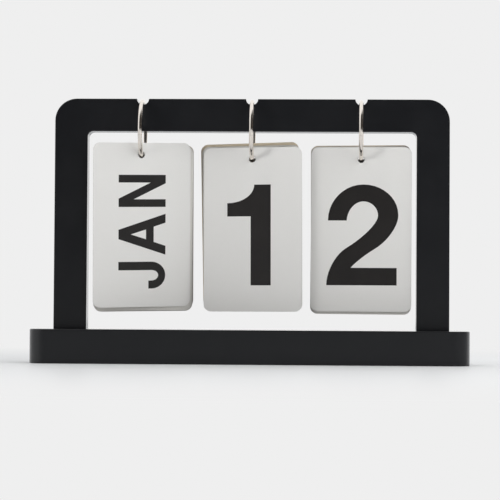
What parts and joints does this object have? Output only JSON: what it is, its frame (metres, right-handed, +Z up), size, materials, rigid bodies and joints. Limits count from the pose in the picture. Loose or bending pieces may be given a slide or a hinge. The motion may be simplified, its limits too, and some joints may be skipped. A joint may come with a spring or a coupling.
{
  "type": "perpetual desk calendar",
  "caption": "Perpetual desk calendar: an arch on a flat base carries book rings, from which stacks of month and number cards hang and turn over.",
  "frame": {"origin": "on the table, under the middle of the base board", "axes": "+X from the month to the ones as the date is read, +Y away from the reader, +Z up"},
  "size_m": [0.238, 0.045, 0.1449],
  "materials": {
    "painted_wood": "matte black paint",
    "screw_steel": "zinc plated",
    "ring_nickel": "polished nickel plate",
    "card_stock": "uncoated card"
  },
  "bodies": {
    "stand": {"base_board": "painted_wood", "arch_frame": "painted_wood", "leg_screws": "screw_steel"},
    "month_ring": {"month_ring_lower": "ring_nickel", "month_ring_rivet": "ring_nickel"},
    "month_gate": {"month_ring_upper": "ring_nickel"},
    "month_jan": {"month_card_jan": "card_stock"},
    "month_feb": {"month_card_feb": "card_stock"},
    "month_mar": {"month_card_mar": "card_stock"},
    "month_apr": {"month_card_apr": "card_stock"},
    "month_may": {"month_card_may": "card_stock"},
    "month_jun": {"month_card_jun": "card_stock"},
    "month_jul": {"month_card_jul": "card_stock"},
    "month_aug": {"month_card_aug": "card_stock"},
    "month_sep": {"month_card_sep": "card_stock"},
    "month_oct": {"month_card_oct": "card_stock"},
    "month_nov": {"month_card_nov": "card_stock"},
    "month_dec": {"month_card_dec": "card_stock"},
    "tens_ring": {"tens_ring_lower": "ring_nickel", "tens_ring_rivet": "ring_nickel"},
    "tens_gate": {"tens_ring_upper": "ring_nickel"},
    "tens_1": {"tens_card_1": "card_stock"},
    "tens_2": {"tens_card_2": "card_stock"},
    "tens_3": {"tens_card_3": "card_stock"},
    "tens_0": {"tens_card_0": "card_stock"},
    "ones_ring": {"ones_ring_lower": "ring_nickel", "ones_ring_rivet": "ring_nickel"},
    "ones_gate": {"ones_ring_upper": "ring_nickel"},
    "ones_2": {"ones_card_2": "card_stock"},
    "ones_3": {"ones_card_3": "card_stock"},
    "ones_4": {"ones_card_4": "card_stock"},
    "ones_5": {"ones_card_5": "card_stock"},
    "ones_6": {"ones_card_6": "card_stock"},
    "ones_7": {"ones_card_7": "card_stock"},
    "ones_8": {"ones_card_8": "card_stock"},
    "ones_9": {"ones_card_9": "card_stock"},
    "ones_0": {"ones_card_0": "card_stock"},
    "ones_1": {"ones_card_1": "card_stock"}
  },
  "joints": [
    {"name": "month_ring_turn", "type": "hinge", "parent": "stand", "child": "month_ring", "pos_m": [-0.0597, 0, 0.1281], "axis": [0.9999, -0.0122, 0], "range_deg": [-24, 41]},
    {"name": "tens_ring_turn", "type": "hinge", "parent": "stand", "child": "tens_ring", "pos_m": [0.0007, 0, 0.12803], "axis": [0.9999, -0.014, 0], "range_deg": [-24, 41]},
    {"name": "ones_ring_turn", "type": "hinge", "parent": "stand", "child": "ones_ring", "pos_m": [0.0605, 0, 0.12804], "axis": [0.9994, -0.0349, 0], "range_deg": [-24, 41]},
    {"name": "month_ring_open", "type": "hinge", "parent": "month_ring", "child": "month_gate", "pos_m": [-0.05952, 0.01514, 0.13188], "axis": [0.9999, -0.0122, 0], "range_deg": [-75, 0]},
    {"name": "tens_ring_open", "type": "hinge", "parent": "tens_ring", "child": "tens_gate", "pos_m": [0.00091, 0.01514, 0.13181], "axis": [0.9999, -0.014, 0], "range_deg": [-75, 0]},
    {"name": "ones_ring_open", "type": "hinge", "parent": "ones_ring", "child": "ones_gate", "pos_m": [0.06103, 0.01513, 0.13182], "axis": [0.9994, -0.0349, 0], "range_deg": [-75, 0]},
    {"name": "month_jan_flip", "type": "hinge", "parent": "stand", "child": "month_jan", "pos_m": [-0.0597, 0, 0.1281], "axis": [-0.9999, 0.0122, 0], "range_deg": [0, 95]},
    {"name": "tens_1_flip", "type": "hinge", "parent": "stand", "child": "tens_1", "pos_m": [0.0007, 0, 0.12803], "axis": [-0.9999, 0.014, 0], "range_deg": [0, 95]},
    {"name": "ones_2_flip", "type": "hinge", "parent": "stand", "child": "ones_2", "pos_m": [0.0605, 0, 0.12804], "axis": [-0.9994, 0.0349, 0], "range_deg": [0, 95]},
    {"name": "month_feb_turn", "type": "hinge", "parent": "stand", "child": "month_feb", "pos_m": [-0.0597, 0, 0.1281], "axis": [-0.9999, 0.0122, 0], "range_deg": [-3.64, 0]},
    {"name": "month_mar_turn", "type": "hinge", "parent": "month_feb", "child": "month_mar", "pos_m": [-0.0597, 0, 0.1281], "axis": [-0.9999, 0.0122, 0], "range_deg": [-3.64, 0]},
    {"name": "month_apr_turn", "type": "hinge", "parent": "month_mar", "child": "month_apr", "pos_m": [-0.0597, 0, 0.1281], "axis": [-0.9999, 0.0122, 0], "range_deg": [-3.64, 0]},
    {"name": "month_may_turn", "type": "hinge", "parent": "month_apr", "child": "month_may", "pos_m": [-0.0597, 0, 0.1281], "axis": [-0.9999, 0.0122, 0], "range_deg": [-3.64, 0]},
    {"name": "month_jun_turn", "type": "hinge", "parent": "month_may", "child": "month_jun", "pos_m": [-0.0597, 0, 0.1281], "axis": [-0.9999, 0.0122, 0], "range_deg": [-3.64, 0]},
    {"name": "month_jul_turn", "type": "hinge", "parent": "month_jun", "child": "month_jul", "pos_m": [-0.0597, 0, 0.1281], "axis": [-0.9999, 0.0122, 0], "range_deg": [-3.64, 0]},
    {"name": "month_aug_turn", "type": "hinge", "parent": "month_jul", "child": "month_aug", "pos_m": [-0.0597, 0, 0.1281], "axis": [-0.9999, 0.0122, 0], "range_deg": [-3.64, 0]},
    {"name": "month_sep_turn", "type": "hinge", "parent": "month_aug", "child": "month_sep", "pos_m": [-0.0597, 0, 0.1281], "axis": [-0.9999, 0.0122, 0], "range_deg": [-3.64, 0]},
    {"name": "month_oct_turn", "type": "hinge", "parent": "month_sep", "child": "month_oct", "pos_m": [-0.0597, 0, 0.1281], "axis": [-0.9999, 0.0122, 0], "range_deg": [-3.64, 0]},
    {"name": "month_nov_turn", "type": "hinge", "parent": "month_oct", "child": "month_nov", "pos_m": [-0.0597, 0, 0.1281], "axis": [-0.9999, 0.0122, 0], "range_deg": [-3.64, 0]},
    {"name": "month_dec_turn", "type": "hinge", "parent": "month_nov", "child": "month_dec", "pos_m": [-0.0597, 0, 0.1281], "axis": [-0.9999, 0.0122, 0], "range_deg": [-3.64, 0]},
    {"name": "tens_2_turn", "type": "hinge", "parent": "stand", "child": "tens_2", "pos_m": [0.0007, 0, 0.12803], "axis": [-0.9999, 0.014, 0], "range_deg": [-11.67, 0]},
    {"name": "tens_3_turn", "type": "hinge", "parent": "tens_2", "child": "tens_3", "pos_m": [0.0007, 0, 0.12803], "axis": [-0.9999, 0.014, 0], "range_deg": [-11.67, 0]},
    {"name": "tens_0_turn", "type": "hinge", "parent": "tens_3", "child": "tens_0", "pos_m": [0.0007, 0, 0.12803], "axis": [-0.9999, 0.014, 0], "range_deg": [-11.67, 0]},
    {"name": "ones_3_turn", "type": "hinge", "parent": "stand", "child": "ones_3", "pos_m": [0.0605, 0, 0.12804], "axis": [-0.9994, 0.0349, 0], "range_deg": [-4.67, 0]},
    {"name": "ones_4_turn", "type": "hinge", "parent": "ones_3", "child": "ones_4", "pos_m": [0.0605, 0, 0.12804], "axis": [-0.9994, 0.0349, 0], "range_deg": [-4.67, 0]},
    {"name": "ones_5_turn", "type": "hinge", "parent": "ones_4", "child": "ones_5", "pos_m": [0.0605, 0, 0.12804], "axis": [-0.9994, 0.0349, 0], "range_deg": [-4.67, 0]},
    {"name": "ones_6_turn", "type": "hinge", "parent": "ones_5", "child": "ones_6", "pos_m": [0.0605, 0, 0.12804], "axis": [-0.9994, 0.0349, 0], "range_deg": [-4.67, 0]},
    {"name": "ones_7_turn", "type": "hinge", "parent": "ones_6", "child": "ones_7", "pos_m": [0.0605, 0, 0.12804], "axis": [-0.9994, 0.0349, 0], "range_deg": [-4.67, 0]},
    {"name": "ones_8_turn", "type": "hinge", "parent": "ones_7", "child": "ones_8", "pos_m": [0.0605, 0, 0.12804], "axis": [-0.9994, 0.0349, 0], "range_deg": [-4.67, 0]},
    {"name": "ones_9_turn", "type": "hinge", "parent": "ones_8", "child": "ones_9", "pos_m": [0.0605, 0, 0.12804], "axis": [-0.9994, 0.0349, 0], "range_deg": [-4.67, 0]},
    {"name": "ones_0_turn", "type": "hinge", "parent": "ones_9", "child": "ones_0", "pos_m": [0.0605, 0, 0.12804], "axis": [-0.9994, 0.0349, 0], "range_deg": [-4.67, 0]},
    {"name": "ones_1_turn", "type": "hinge", "parent": "ones_0", "child": "ones_1", "pos_m": [0.0605, 0, 0.12804], "axis": [-0.9994, 0.0349, 0], "range_deg": [-4.67, 0]}
  ]
}
